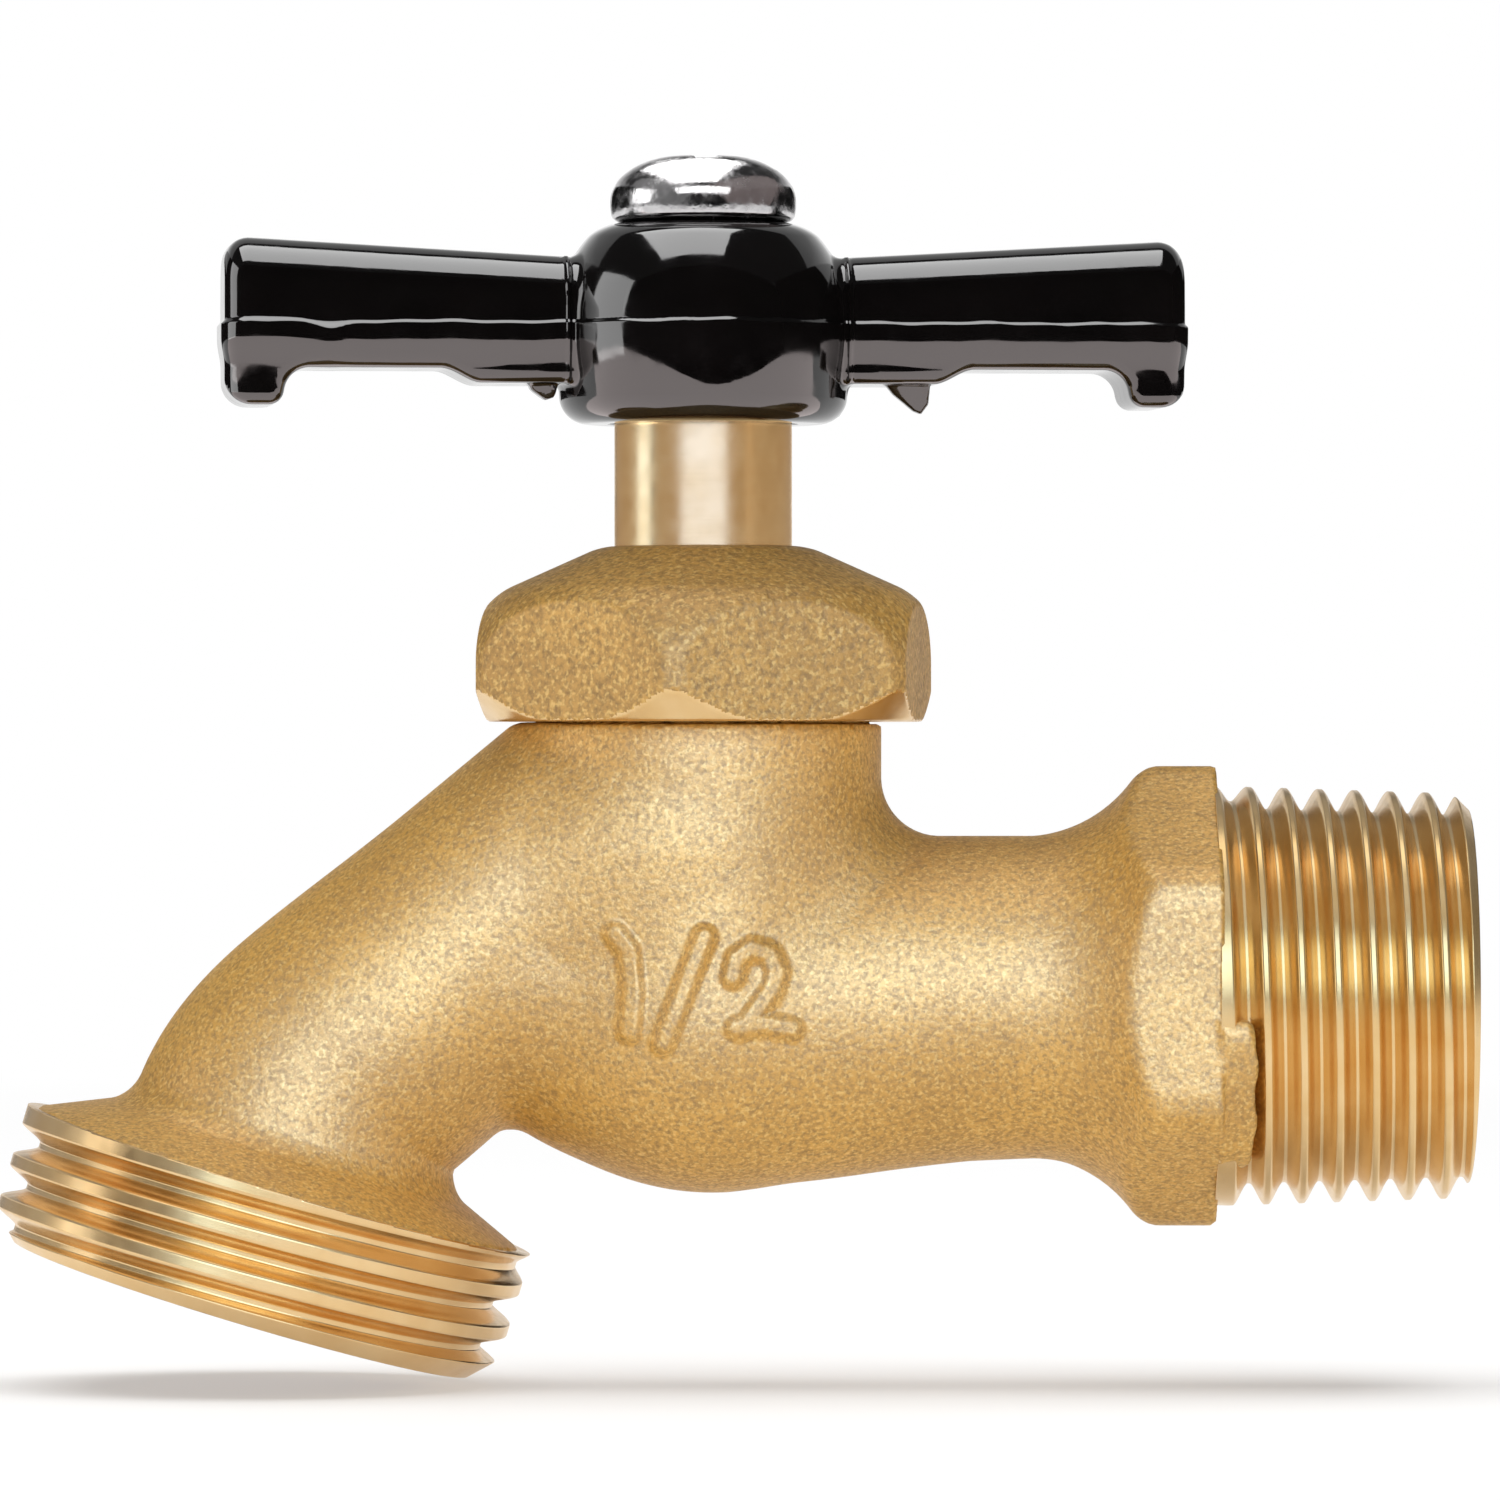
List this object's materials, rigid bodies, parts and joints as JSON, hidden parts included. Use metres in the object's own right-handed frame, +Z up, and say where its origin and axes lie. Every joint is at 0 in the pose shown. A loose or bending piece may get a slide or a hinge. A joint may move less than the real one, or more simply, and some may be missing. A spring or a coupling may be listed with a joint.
{
  "type": "garden tap",
  "caption": "Brass garden tap with a tapered inlet thread, a hexagon bonnet nut, a black tee handle and a tilted hose thread outlet, with a rising stem and a washer valve inside.",
  "frame": {"origin": "centre of the inlet's open end", "axes": "+X out of the inlet along its axis, +Z up along the stem, away from the outlet"},
  "size_m": [0.0753, 0.0268, 0.0625],
  "materials": {
    "cast_brass": "sand cast and shot blasted, with machined threads",
    "turned_brass": "machined bright",
    "black_coating": "thick glossy black coating over a casting",
    "bright_screw": "bright nickel plated steel",
    "seal_rubber": "matt moulded rubber"
  },
  "bodies": {
    "body": {"tap_body": "cast_brass", "bonnet_nut": "cast_brass", "packing_washer": "turned_brass", "packing_ring": "seal_rubber"},
    "valve": {"jumper": "turned_brass", "seat_washer": "seal_rubber", "washer_nut": "turned_brass"},
    "stem": {"spindle": "turned_brass", "handle": "black_coating", "handle_screw": "bright_screw"}
  },
  "joints": [
    {"name": "valve_lift", "type": "slide", "parent": "body", "child": "valve", "axis": [0, 0, 1], "range_m": [0, 0.00509]},
    {"name": "handle_turn", "type": "hinge", "parent": "valve", "child": "stem", "pos_m": [-0.0392, 0, 0.03], "axis": [0, 0, 1], "range_deg": [0, 720]}
  ],
  "couplings": [
    {"joint": "valve_lift", "follows": "handle_turn", "m_per_rad": 0.00040425}
  ]
}
